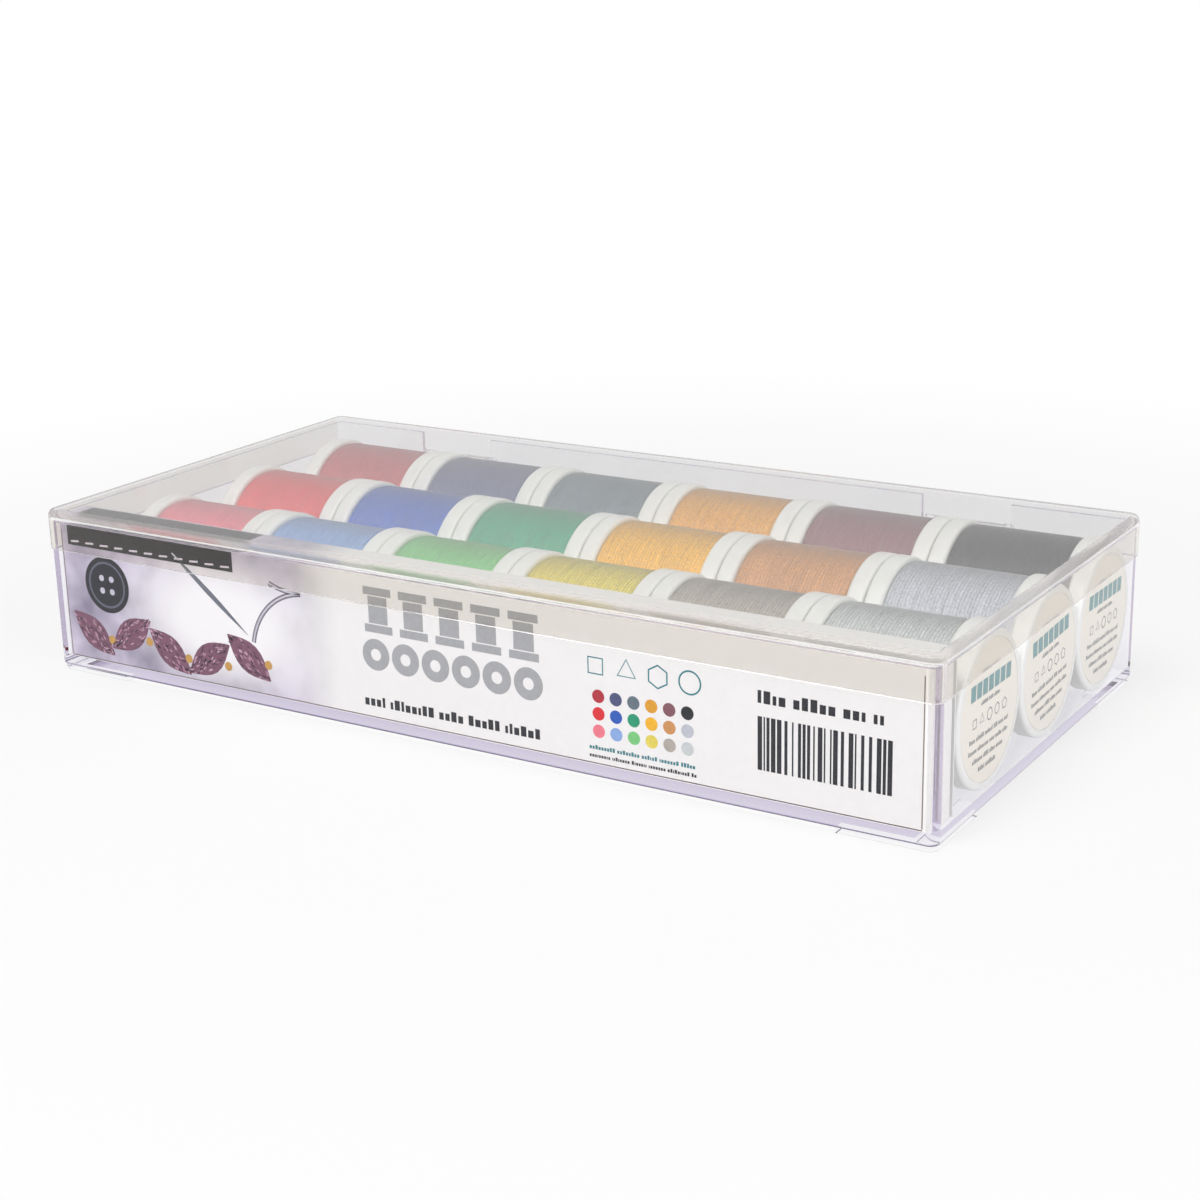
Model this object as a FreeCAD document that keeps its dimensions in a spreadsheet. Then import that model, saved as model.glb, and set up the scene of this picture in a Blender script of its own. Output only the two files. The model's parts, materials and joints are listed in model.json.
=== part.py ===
import FreeCAD, Part
import os
import Sketcher

# A clear hinged box that holds three rows of sewing thread on spools behind a folded card.
# Frame: X along the box, Y from the front wall to the back, Z up, origin on the table
# below the middle of the lid. All sizes are in millimetres.

Vector = FreeCAD.Vector
doc = FreeCAD.newDocument("thread_spool_box")

COLUMNS = 6
ROWS = ["back", "middle", "front"]

SIZES = [
    ("spool_length", 38.95, "spool, end to end"),
    ("barrel_diameter", 26.0, "core under the thread"),
    ("barrel_wall", 1.5, "hollow core's wall"),
    ("winding_depth", 4.2, "thread on the core"),
    ("flange_rise", 0.8, "flange above the thread"),
    ("flange_thickness", 4.6, "one end flange"),
    ("flange_chamfer", 0.9, "broken edge of a flange"),
    ("spindle_bore", 7.0, "hole for the machine's spool pin"),
    ("end_web", 2.5, "web between spindle bore and core"),
    ("label_margin", 2.0, "label's edge in from the flange's edge"),
    ("label_paper", 0.25, "label thickness"),
    ("label_recess", 0.3, "depth of the label's seat"),
    ("label_clearance", 0.2, "label edge to the seat's rim"),
    ("winding_fall", 0.35, "drop of the thread's radius at its ends"),
    ("winding_shoulder", 2.2, "length over which the thread falls away"),
    ("winding_seat", 0.05, "thread to core"),
    ("winding_end_gap", 0.15, "thread to flange"),
    ("column_gap", 0.2, "between spools in a row"),
    ("row_gap", 0.15, "between rows"),
    ("end_clearance", 0.65, "last spool to the right end wall"),
    ("spare_length", 11.25, "free space at the left end of the rows"),
    ("back_clearance", 0.4, "back row to back wall"),
    ("spool_floor_gap", 0.2, "flange to floor"),
    ("head_room", 1.65, "spool to lid"),
    ("base_wall", 2.2, "tray wall"),
    ("base_floor", 2.75, "tray floor"),
    ("corner_round", 3.0, "lid's outer corners, seen from above"),
    ("foot_height", 1.3, "corner feet"),
    ("foot_inset", 0.5, "feet in from the tray wall"),
    ("foot_length", 23.0, "foot along each wall"),
    ("foot_width", 6.0, "width of a foot's arm"),
    ("lid_overhang", 0.5, "lid stands proud of the tray"),
    ("lid_depth", 10.8, "lid, top to skirt edge"),
    ("lid_plate", 2.2, "lid's flat top"),
    ("lid_skirt", 1.2, "skirt wall"),
    ("lid_edge_round", 1.8, "rounded top edge"),
    ("lid_clearance", 0.35, "skirt to tray rim"),
    ("seam_gap", 0.1, "skirt edge to tray shoulder"),
    ("rim_drop", 1.3, "tray rim below the lid plate"),
    ("hinge_spread", 80.3, "hinge centre from the middle"),
    ("notch_width", 24.5, "gap in the back rim at a hinge"),
    ("ear_width", 2.25, "bearing ear"),
    ("ear_radius", 1.6, "ear and knuckle"),
    ("pin_radius", 0.8, "hinge pin"),
    ("pin_clearance", 0.1, "pin to ear bore"),
    ("pin_end_gap", 0.3, "pin end to tray wall"),
    ("knuckle_gap", 0.3, "knuckle to ear and notch"),
    ("relief_gap", 0.5, "skirt cut-out to ear"),
    ("hinge_setback", 0.05, "hinge axis behind the lid's back face"),
    ("card_thickness", 0.4, "folded card"),
    ("card_depth", 9.95, "front panel to back panel"),
    ("card_front_gap", 0.15, "card to front wall"),
    ("card_back_gap", 0.4, "card to front row"),
    ("card_end_gap", 1.0, "card to end wall"),
    ("card_top_gap", 1.3, "card to lid plate"),
    ("card_flap", 8.0, "end flaps folded back from the front panel"),
]

sheet = doc.addObject("Spreadsheet::Sheet", "sizes")
for line, (alias, value, meaning) in enumerate(SIZES, start=1):
    sheet.set(f"A{line}", meaning)
    sheet.set(f"B{line}", str(value))
    sheet.setAlias(f"B{line}", alias)
doc.recompute()


def sized(text):
    """Turn plain size names into references to the sheet."""
    for alias, _, _ in sorted(SIZES, key=lambda size: -len(size[0])):
        text = text.replace(f"[{alias}]", f"sizes.{alias}")
    return f"({text})"


def value_of(expression):
    return float(sheet.evalExpression(expression))


def bind(item, **expressions):
    """Tie an item's properties to the sheet; a double underscore stands for a dot."""
    for name, expression in expressions.items():
        item.setExpression(name.replace("__", "."), expression)


# A spool grows from its core outwards: thread, flanges, and labels within the flanges.
BARREL_RADIUS = sized("[barrel_diameter] / 2")
WINDING_RADIUS = sized(f"{BARREL_RADIUS} + [winding_depth]")
FLANGE_RADIUS = sized(f"{WINDING_RADIUS} + [flange_rise]")
LABEL_RADIUS = sized(f"{FLANGE_RADIUS} - [label_margin]")

# The spools set the tray's inside, and the walls outside it follow.
COLUMN_PITCH = sized("[spool_length] + [column_gap]")
ROW_PITCH = sized(f"2 * {FLANGE_RADIUS} + [row_gap]")
ROW_LENGTH = sized(f"{COLUMNS} * {COLUMN_PITCH} - [column_gap]")
INNER_LENGTH = sized(f"{ROW_LENGTH} + [end_clearance] + [spare_length]")
SPOOL_BED = sized(f"{len(ROWS)} * {ROW_PITCH} - [row_gap] + [back_clearance]")
CARD_BED = sized("[card_front_gap] + [card_depth] + [card_back_gap]")
INNER_WIDTH = sized(f"{SPOOL_BED} + {CARD_BED}")
FLOOR_TOP = sized("[foot_height] + [base_floor]")
SPOOL_AXIS = sized(f"{FLOOR_TOP} + [spool_floor_gap] + {FLANGE_RADIUS}")
PLATE_UNDERSIDE = sized(f"{SPOOL_AXIS} + {FLANGE_RADIUS} + [head_room]")
LID_TOP = sized(f"{PLATE_UNDERSIDE} + [lid_plate]")
SEAM = sized(f"{LID_TOP} - [lid_depth]")
SHOULDER = sized(f"{SEAM} - [seam_gap]")
RIM_TOP = sized(f"{PLATE_UNDERSIDE} - [rim_drop]")

# Half sizes of the upright faces, from the inside out: tray inside, rim, lid inside, tray, lid.
INSIDE = {"length": f"{INNER_LENGTH} / 2", "width": f"{INNER_WIDTH} / 2"}
TRAY = {way: sized(f"{half} + [base_wall]") for way, half in INSIDE.items()}
LID = {way: sized(f"{half} + [lid_overhang]") for way, half in TRAY.items()}
LID_INSIDE = {way: sized(f"{half} - [lid_skirt]") for way, half in LID.items()}
RIM = {way: sized(f"{half} - [lid_clearance]") for way, half in LID_INSIDE.items()}
FOOT_OUTER = {way: sized(f"{half} - [foot_inset]") for way, half in TRAY.items()}
FOOT_INNER = {way: sized(f"{half} - [foot_width]") for way, half in FOOT_OUTER.items()}
FOOT_FREE = {way: sized(f"{half} - [foot_length]") for way, half in FOOT_OUTER.items()}

LID_CORNER = sized("[corner_round]")
TRAY_CORNER = sized("[corner_round] - [lid_overhang]")
LID_INSIDE_CORNER = sized("[corner_round] - [lid_skirt]")
RIM_CORNER = sized("[corner_round] - [lid_skirt] - [lid_clearance]")
INSIDE_CORNER = sized("([corner_round] - [lid_skirt] - [lid_clearance]) / 2")
FOOT_CORNER = sized("[corner_round] - [lid_overhang] - [foot_inset]")

# The hinge turns about a line just behind the lid's back face, level with the tray's shoulder.
HINGE_Y = sized(f"{LID['width']} + [hinge_setback]")
HINGE_Z = SHOULDER
KNUCKLE_HALF = sized("[notch_width] / 2 - [ear_width] - [knuckle_gap]")
NOTCH_HALF_LOW = sized("[notch_width] / 2 - [ear_width]")
PIN_HALF = sized("[notch_width] / 2 - [pin_end_gap]")
RELIEF_HALF = sized("[notch_width] / 2 + [relief_gap]")
NOTCH_BOTTOM = sized(f"{HINGE_Z} - [ear_radius] - [knuckle_gap]")
RELIEF_TOP = sized(f"{HINGE_Z} + [ear_radius] + [relief_gap]")
SIDES = {"left": "-1", "right": "1"}


def base_plane(body, role):
    return next(item for item in body.Origin.OriginFeatures if item.Role == role)


def sketch_on(body, name, role, offset):
    """Start a sketch on one of a body's own origin planes, moved along the plane's normal."""
    sketch = body.newObject("Sketcher::SketchObject", name)
    sketch.AttachmentSupport = [(base_plane(body, role), "")]
    sketch.MapMode = "FlatFace"
    bind(sketch, AttachmentOffset__Base__z=offset)
    return sketch


def hold(sketch, name, constraint, expression):
    index = sketch.addConstraint(constraint)
    sketch.renameConstraint(index, name)
    sketch.setExpression(f"Constraints.{name}", expression)


def add_rectangle(sketch, prefix, half):
    """Draw a rectangle about the origin."""
    across = value_of(half["length"])
    along = value_of(half["width"])
    corners = [Vector(-across, -along), Vector(across, -along), Vector(across, along), Vector(-across, along)]
    first = sketch.GeometryCount
    for turn in range(4):
        sketch.addGeometry(Part.LineSegment(corners[turn], corners[(turn + 1) % 4]), False)
    for turn in range(4):
        sketch.addConstraint(Sketcher.Constraint("Coincident", first + turn, 2, first + (turn + 1) % 4, 1))
        kind = "Vertical" if turn % 2 else "Horizontal"
        sketch.addConstraint(Sketcher.Constraint(kind, first + turn))
    centred = Sketcher.Constraint("Symmetric", first, 1, first + 1, 2, -1, 1)
    sketch.addConstraint(centred)
    length = Sketcher.Constraint("DistanceX", first, 1, first, 2, 2 * across)
    width = Sketcher.Constraint("DistanceY", first + 1, 1, first + 1, 2, 2 * along)
    hold(sketch, f"{prefix}_length", length, f"2 * {half['length']}")
    hold(sketch, f"{prefix}_width", width, f"2 * {half['width']}")


def add_rounded_rectangle(sketch, prefix, half, corner):
    """Draw a rectangle about the origin with four equal round corners."""
    across = value_of(half["length"])
    along = value_of(half["width"])
    radius = value_of(corner)
    quarter = FreeCAD.Units.Quantity("90 deg").Value
    first = sketch.GeometryCount
    for turn in range(4):
        spin = FreeCAD.Rotation(Vector(0, 0, 1), turn * quarter)
        reach, depth = (across, along) if turn % 2 == 0 else (along, across)
        start = spin.multVec(Vector(radius - reach, -depth))
        end = spin.multVec(Vector(reach - radius, -depth))
        centre = spin.multVec(Vector(reach - radius, radius - depth))
        sketch.addGeometry(Part.LineSegment(start, end), False)
        outside = spin.multVec(Vector(1, -1)).normalize() * radius
        next_start = spin.multVec(Vector(reach, radius - depth))
        sketch.addGeometry(Part.Arc(end, centre + outside, next_start), False)
    for turn in range(8):
        following = first + (turn + 1) % 8
        sketch.addConstraint(Sketcher.Constraint("Tangent", first + turn, 2, following, 1))
    for turn, kind in ((0, "Horizontal"), (2, "Vertical"), (4, "Horizontal"), (6, "Vertical")):
        sketch.addConstraint(Sketcher.Constraint(kind, first + turn))
    for turn in (3, 5, 7):
        sketch.addConstraint(Sketcher.Constraint("Equal", first + 1, first + turn))
    hold(sketch, f"{prefix}_corner", Sketcher.Constraint("Radius", first + 1, radius), corner)
    right = Sketcher.Constraint("DistanceX", -1, 1, first + 2, 1, across)
    back = Sketcher.Constraint("DistanceY", -1, 1, first + 4, 1, along)
    left = Sketcher.Constraint("DistanceX", first + 6, 1, -1, 1, across)
    front = Sketcher.Constraint("DistanceY", first, 1, -1, 1, along)
    hold(sketch, f"{prefix}_right", right, half["length"])
    hold(sketch, f"{prefix}_back", back, half["width"])
    hold(sketch, f"{prefix}_left", left, half["length"])
    hold(sketch, f"{prefix}_front", front, half["width"])


def pad(body, name, sketch, length):
    feature = body.newObject("PartDesign::Pad", name)
    feature.Profile = sketch
    bind(feature, Length=length)
    doc.recompute()
    return feature


def pocket(body, name, sketch, depth, upwards=False):
    """Cut a sketch out of the body, and make sure that something was cut."""
    before = body.Shape.Volume
    feature = body.newObject("PartDesign::Pocket", name)
    feature.Profile = sketch
    feature.Reversed = upwards
    bind(feature, Length=depth)
    doc.recompute()
    if body.Shape.Volume >= before:
        raise RuntimeError(f"{name} cuts nothing")
    return feature


def block(name, low, high):
    """A box between two corners, each given as three expressions."""
    box = doc.addObject("Part::Box", name)
    extent = [f"({top}) - ({bottom})" for bottom, top in zip(low, high)]
    bind(box, Length=extent[0], Width=extent[1], Height=extent[2])
    bind(box, Placement__Base__x=low[0], Placement__Base__y=low[1], Placement__Base__z=low[2])
    return box


def rod(name, radius, start, end):
    """A round bar along X on the hinge line."""
    bar = doc.addObject("Part::Cylinder", name)
    bar.Placement.Rotation = FreeCAD.Rotation(Vector(0, 1, 0), 90)
    bind(bar, Radius=radius, Height=f"({end}) - ({start})")
    bind(bar, Placement__Base__x=start, Placement__Base__y=HINGE_Y, Placement__Base__z=HINGE_Z)
    return bar


def joined(name, pieces):
    union = doc.addObject("Part::MultiFuse", name)
    union.Shapes = pieces
    return union


def cut_from(name, stock, tool):
    result = doc.addObject("Part::Cut", name)
    result.Base = stock
    result.Tool = tool
    return result


def hinge_centre(side):
    return sized(f"{SIDES[side]} * [hinge_spread]")


def tray_shell():
    """The tray: floor, walls and thin rim for the lid's skirt, on four corner feet."""
    body = doc.addObject("PartDesign::Body", "tray_shell")
    outline = sketch_on(body, "tray_outline", "XY_Plane", sized("[foot_height]"))
    add_rounded_rectangle(outline, "tray", TRAY, TRAY_CORNER)
    pad(body, "tray_block", outline, sized(f"{SHOULDER} - [foot_height]"))
    rim = sketch_on(body, "rim_outline", "XY_Plane", SHOULDER)
    add_rounded_rectangle(rim, "rim", RIM, RIM_CORNER)
    pad(body, "rim_block", rim, f"{RIM_TOP} - {SHOULDER}")
    inside = sketch_on(body, "inside_outline", "XY_Plane", RIM_TOP)
    add_rounded_rectangle(inside, "inside", INSIDE, INSIDE_CORNER)
    pocket(body, "inside_hollow", inside, f"{RIM_TOP} - {FLOOR_TOP}")
    feet = sketch_on(body, "foot_ring", "XY_Plane", "0")
    add_rounded_rectangle(feet, "foot", FOOT_OUTER, FOOT_CORNER)
    add_rectangle(feet, "foot_inner", FOOT_INNER)
    pad(body, "foot_ridge", feet, sized("[foot_height]"))
    for name, half in (
        ("front_back_gap", {"length": FOOT_FREE["length"], "width": TRAY["width"]}),
        ("end_gap", {"length": TRAY["length"], "width": FOOT_FREE["width"]}),
    ):
        gap = sketch_on(body, f"{name}_outline", "XY_Plane", "0")
        add_rectangle(gap, name, half)
        pocket(body, name, gap, sized("[foot_height]"), upwards=True)
    return body


def base_tray():
    """The tray with a notch, two bearing ears and their bores at each hinge."""
    notches = []
    ears = []
    bores = []
    beyond = sized(f"{TRAY['width']} + [base_wall]")
    above = sized(f"{RIM_TOP} + [rim_drop]")
    for side in SIDES:
        centre = hinge_centre(side)
        for name, half, bottom in (
            ("rim", sized("[notch_width] / 2"), SHOULDER),
            ("knuckle", NOTCH_HALF_LOW, NOTCH_BOTTOM),
        ):
            low = (f"{centre} - {half}", f"{INSIDE['width']} - sizes.base_wall", bottom)
            high = (f"{centre} + {half}", beyond, above)
            notches.append(block(f"{name}_notch_{side}", low, high))
        inner = NOTCH_HALF_LOW
        outer = sized("[notch_width] / 2")
        for place, start, end in (
            ("inner", f"{centre} - {outer}", f"{centre} - {inner}"),
            ("outer", f"{centre} + {inner}", f"{centre} + {outer}"),
        ):
            ears.append(rod(f"ear_{side}_{place}", sized("[ear_radius]"), start, end))
            bore = sized("[pin_radius] + [pin_clearance]")
            bores.append(rod(f"ear_bore_{side}_{place}", bore, start, end))
    notched = cut_from("notched_tray", tray_shell(), joined("hinge_notches", notches))
    eared = joined("eared_tray", [notched] + ears)
    return cut_from("base_tray", eared, joined("ear_bores", bores))


def lid_shell():
    """The lid: a flat plate with a rounded edge and a skirt that goes over the tray's rim."""
    body = doc.addObject("PartDesign::Body", "lid_shell")
    outline = sketch_on(body, "lid_outline", "XY_Plane", SEAM)
    add_rounded_rectangle(outline, "lid", LID, LID_CORNER)
    slab = pad(body, "lid_block", outline, sized("[lid_depth]"))
    top_face = max(slab.Shape.Faces, key=lambda face: face.BoundBox.ZMin)
    edges = enumerate(slab.Shape.Edges, start=1)
    top_edges = [f"Edge{number}" for number, edge in edges if any(edge.isSame(side) for side in top_face.Edges)]
    rounding = body.newObject("PartDesign::Fillet", "lid_edge")
    rounding.Base = (slab, top_edges)
    bind(rounding, Radius=sized("[lid_edge_round]"))
    doc.recompute()
    hollow = sketch_on(body, "lid_inside_outline", "XY_Plane", SEAM)
    add_rounded_rectangle(hollow, "lid_inside", LID_INSIDE, LID_INSIDE_CORNER)
    pocket(body, "lid_hollow", hollow, sized("[lid_depth] - [lid_plate]"), upwards=True)
    return body


def lid():
    """The lid with its skirt cut away round the ears, and a knuckle with two pins at each hinge."""
    reliefs = []
    knuckles = []
    behind = sized(f"{LID['width']} + [lid_skirt]")
    inward = sized(f"{LID_INSIDE['width']} - [lid_clearance]")
    for side in SIDES:
        centre = hinge_centre(side)
        low = (f"{centre} - {RELIEF_HALF}", inward, sized(f"{SEAM} - [lid_skirt]"))
        high = (f"{centre} + {RELIEF_HALF}", behind, RELIEF_TOP)
        reliefs.append(block(f"skirt_relief_{side}", low, high))
        start = f"{centre} - {KNUCKLE_HALF}"
        end = f"{centre} + {KNUCKLE_HALF}"
        low = (start, LID_INSIDE["width"], HINGE_Z)
        high = (end, LID["width"], sized(f"{RELIEF_TOP} + [lid_skirt]"))
        knuckles.append(block(f"tongue_{side}", low, high))
        knuckles.append(rod(f"knuckle_{side}", sized("[ear_radius]"), start, end))
        pin_start = f"{centre} - {PIN_HALF}"
        pin_end = f"{centre} + {PIN_HALF}"
        knuckles.append(rod(f"pin_{side}", sized("[pin_radius]"), pin_start, pin_end))
    relieved = cut_from("relieved_lid", lid_shell(), joined("skirt_reliefs", reliefs))
    return joined("lid", [relieved] + knuckles)


def front_card():
    """A card folded over the front row: front, top and back panels, with short end flaps."""
    reach = sized(f"{INSIDE['length']} - [card_end_gap]")
    front = sized(f"[card_front_gap] - {INSIDE['width']}")
    back = sized(f"{front} + [card_depth]")
    top = sized(f"{PLATE_UNDERSIDE} - [card_top_gap]")
    thick = "sizes.card_thickness"
    folded = block("card_block", (f"-{reach}", front, FLOOR_TOP), (reach, back, top))
    inside_low = (f"{thick} - {reach}", f"{front} + {thick}", sized(f"{FLOOR_TOP} - [card_thickness]"))
    inside_high = (f"{reach} - {thick}", f"{back} - {thick}", f"{top} - {thick}")
    hollow = block("card_hollow", inside_low, inside_high)
    window_low = (f"-{reach}", sized(f"{front} + [card_flap]"), inside_low[2])
    window_high = (reach, inside_high[1], inside_high[2])
    window = block("card_end_window", window_low, window_high)
    return cut_from("front_card", folded, joined("card_voids", [hollow, window]))


def profile(name, points):
    """A closed outline in the XY plane, X along a spool's axis and Y its radius."""
    sketch = doc.addObject("Sketcher::SketchObject", name)
    spots = [Vector(value_of(along), value_of(radius)) for along, radius in points]
    count = len(points)
    for turn in range(count):
        sketch.addGeometry(Part.LineSegment(spots[turn], spots[(turn + 1) % count]), False)
    for turn in range(count):
        sketch.addConstraint(Sketcher.Constraint("Coincident", turn, 2, (turn + 1) % count, 1))
    for turn, (along, radius) in enumerate(points):
        across = Sketcher.Constraint("DistanceX", -1, 1, turn, 1, spots[turn].x)
        up = Sketcher.Constraint("DistanceY", -1, 1, turn, 1, spots[turn].y)
        hold(sketch, f"along_{turn}", across, along)
        hold(sketch, f"radius_{turn}", up, radius)
    return sketch


def mirrored(half):
    """Complete a spool outline from its left half."""
    far = [(sized(f"[spool_length] - {along}"), radius) for along, radius in reversed(half)]
    return half + far


def spool_outline():
    edge = sized(f"{FLANGE_RADIUS} - [flange_chamfer]")
    seat = sized(f"{LABEL_RADIUS} + [label_clearance]")
    cavity = sized(f"{BARREL_RADIUS} - [barrel_wall]")
    bore = sized("[spindle_bore] / 2")
    web = sized("[label_recess] + [end_web]")
    recess = sized("[label_recess]")
    left = [
        (web, cavity),
        (web, bore),
        (recess, bore),
        (recess, seat),
        ("0", seat),
        ("0", edge),
        (sized("[flange_chamfer]"), FLANGE_RADIUS),
        (sized("[flange_thickness]"), FLANGE_RADIUS),
        (sized("[flange_thickness]"), BARREL_RADIUS),
    ]
    return profile("spool_outline", mirrored(left))


def winding_outline():
    start = sized("[flange_thickness] + [winding_end_gap]")
    left = [
        (start, sized(f"{BARREL_RADIUS} + [winding_seat]")),
        (start, sized(f"{WINDING_RADIUS} - [winding_fall]")),
        (sized(f"{start} + [winding_shoulder]"), WINDING_RADIUS),
    ]
    return profile("winding_outline", mirrored(left))


def turned(name, outline, place):
    """Turn an outline about a spool's axis and set it in its place in the box."""
    solid = doc.addObject("Part::Revolution", name)
    solid.Source = outline
    solid.Axis = Vector(1, 0, 0)
    solid.Base = Vector(0, 0, 0)
    solid.Angle = 360
    solid.Solid = True
    bind(solid, Placement__Base__x=place[0], Placement__Base__y=place[1], Placement__Base__z=place[2])
    return solid


def label_pair(name, place):
    """The two paper discs on a spool's ends."""
    discs = []
    left_seat = sized("[label_recess] - [label_paper]")
    right_seat = sized("[spool_length] - [label_recess]")
    for end, seat in (("left", left_seat), ("right", right_seat)):
        disc = doc.addObject("Part::Cylinder", f"{name}_{end}")
        disc.Placement.Rotation = FreeCAD.Rotation(Vector(0, 1, 0), 90)
        bind(disc, Radius=LABEL_RADIUS, Height=sized("[label_paper]"))
        bind(disc, Placement__Base__x=f"{place[0]} + {seat}")
        bind(disc, Placement__Base__y=place[1], Placement__Base__z=place[2])
        discs.append(disc)
    pair = doc.addObject("Part::Compound", name)
    pair.Links = discs
    return pair


def spools():
    """Every spool in its row and column: core, winding and labels."""
    core = spool_outline()
    winding = winding_outline()
    pieces = []
    for row, row_name in enumerate(ROWS):
        back_row = sized(f"{INSIDE['width']} - [back_clearance] - {FLANGE_RADIUS}")
        across = f"{back_row} - {row} * {ROW_PITCH}"
        for column in range(COLUMNS):
            first = sized(f"[spare_length] - {INSIDE['length']}")
            along = f"{first} + {column} * {COLUMN_PITCH}"
            place = (along, across, SPOOL_AXIS)
            number = f"{row_name}_{column + 1}"
            pieces.append(turned(f"spool_{number}", core, place))
            pieces.append(turned(f"thread_{number}", winding, place))
            pieces.append(label_pair(f"labels_{number}", place))
    return pieces


def check(pieces):
    """Stop if any object failed to build or any finished piece isn't a sound solid."""
    for item in doc.Objects:
        if "Invalid" in item.State or "Error" in item.State:
            raise RuntimeError(f"{item.Name} failed: {item.State}")
    for piece in pieces:
        if piece.Shape.isNull() or not piece.Shape.isValid() or not piece.Shape.Solids:
            raise RuntimeError(f"{piece.Label} has no sound shape")


finished = [base_tray(), lid(), front_card()] + spools()
doc.recompute()
check(finished)
os.makedirs("parts", exist_ok=True)
for piece in finished:
    piece.Shape.exportStep(f"parts/{piece.Label}.step")
    solids = len(piece.Shape.Solids)
    print(f"{piece.Label}: {solids} solid(s), {piece.Shape.Volume / 1000:.2f} cm3")
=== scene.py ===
import json
import math
import random

import bmesh
import bpy
from mathutils import Matrix, Vector


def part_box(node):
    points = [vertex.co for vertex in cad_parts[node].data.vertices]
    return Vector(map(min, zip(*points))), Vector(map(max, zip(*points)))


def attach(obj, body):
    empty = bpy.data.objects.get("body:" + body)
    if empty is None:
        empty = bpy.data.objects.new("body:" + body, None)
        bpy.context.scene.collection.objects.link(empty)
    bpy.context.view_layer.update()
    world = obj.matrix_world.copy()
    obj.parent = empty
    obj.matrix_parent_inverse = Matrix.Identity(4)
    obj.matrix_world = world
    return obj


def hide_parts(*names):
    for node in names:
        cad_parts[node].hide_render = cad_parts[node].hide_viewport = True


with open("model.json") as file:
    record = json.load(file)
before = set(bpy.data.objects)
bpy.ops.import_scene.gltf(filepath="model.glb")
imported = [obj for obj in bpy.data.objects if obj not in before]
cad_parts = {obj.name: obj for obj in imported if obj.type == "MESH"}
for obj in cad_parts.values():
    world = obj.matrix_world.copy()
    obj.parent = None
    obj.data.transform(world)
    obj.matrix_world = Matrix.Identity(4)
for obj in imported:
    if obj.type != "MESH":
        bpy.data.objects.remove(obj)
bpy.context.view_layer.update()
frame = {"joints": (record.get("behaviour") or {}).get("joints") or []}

# The clear hinged box of thread spools, dressed for the camera. Metres, in the CAD frame.
MM = 0.001
ROWS = ["back", "middle", "front"]
COLUMNS = range(1, 7)
AXIS = Vector((1, 0, 0))

# Thread colours, from left to right as the box is seen from the front.
THREADS = {
    "back": [
        ("burgundy", "b52734"), ("navy", "4a517a"), ("charcoal", "63747e"),
        ("gold", "e2a022"), ("plum", "86555f"), ("black", "1c2024"),
    ],
    "middle": [
        ("red", "e0242c"), ("royal_blue", "1f58b8"), ("emerald", "179a70"),
        ("golden_yellow", "f6b81e"), ("tan", "d09254"), ("silver", "c0c4cc"),
    ],
    "front": [
        ("salmon", "f07a89"), ("light_blue", "8aabdf"), ("light_green", "7acb7c"),
        ("olive_yellow", "e6d456"), ("taupe", "b1aa9f"), ("pearl", "cacfce"),
    ],
}

# Moulded sizes that the frame's boxes don't give.
LID_PLATE = 2.2 * MM
LID_SKIRT = 1.2 * MM
LID_DEPTH = 10.8 * MM
LID_CORNER = 3.0 * MM
LID_EDGE = 1.8 * MM
LID_INNER_FILLET = 0.7 * MM
TRAY_WALL = 2.2 * MM
TRAY_FLOOR = 2.75 * MM
TRAY_CORNER = 2.5 * MM
TRAY_REBATE = 1.05 * MM
TRAY_FLOOR_FILLET = 0.8 * MM
TRAY_BOTTOM_ROUND = 1.0 * MM
SHOULDER_GAP = 0.1 * MM
MOULD_EDGE = 0.22 * MM
FOOT_HEIGHT = 1.3 * MM
FOOT_INSET = 0.5 * MM
FOOT_LENGTH = 23.0 * MM
FOOT_WIDTH = 6.0 * MM
HINGE_SPREAD = 80.3 * MM
NOTCH_WIDTH = 24.5 * MM
EAR_WIDTH = 2.25 * MM
EAR_RADIUS = 1.6 * MM
PIN_RADIUS = 0.8 * MM
PIN_CLEARANCE = 0.1 * MM
PIN_END_GAP = 0.3 * MM
KNUCKLE_GAP = 0.3 * MM
RELIEF_GAP = 0.5 * MM
BARREL_RADIUS = 13.0 * MM
FLANGE_THICKNESS = 4.6 * MM
FLANGE_ROUND = 0.9 * MM
LABEL_RECESS = 0.3 * MM
LABEL_MARGIN = 2.0 * MM
LABEL_SEAT_GAP = 0.2 * MM
SPINDLE_RADIUS = 3.5 * MM
WEB_THICKNESS = 2.5 * MM
BARREL_WALL = 1.5 * MM
LABEL_PAPER = 0.25 * MM
CARD = 0.4 * MM
CARD_FLAP = 8.0 * MM
CARD_FOLD = 0.5 * MM
INK = 0.02 * MM
INK_GAP = 0.005 * MM
# Drawn about three times as coarse as the real thread, so that its turns still show from a step away.
THREAD_PITCH = 0.85 * MM
THREAD_RISE = 0.14 * MM
# The winding falls away towards both flanges, and its inside clears the core.
WINDING_SHOULDER = 2.2 * MM
WINDING_FALL = 0.35 * MM
WINDING_SEAT_GAP = 0.05 * MM
# Labels are stuck on up to this far from upright, in radians.
LABEL_TILT = 0.06
# Points and radii nearer than these count as the same.
SAME_PLACE = 1e-7
SAME_RADIUS = 1e-6
ROUND_STEPS = 96
SMOOTH_ANGLE = math.radians(35)
# Light counts as caught in a clear wall after two reflections, or at the eighth step of its path.
CAUGHT_REFLECTIONS = 1.5
CAUGHT_STEPS = 7.5

LID_LOW, LID_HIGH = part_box("lid")
TRAY_LOW, TRAY_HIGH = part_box("base_tray")
CARD_LOW, CARD_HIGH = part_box("front_card")
HINGE = next(joint for joint in frame["joints"] if joint["name"] == "lid_hinge")
HINGE_Y, HINGE_Z = HINGE["pos_m"][1], HINGE["pos_m"][2]
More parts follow.
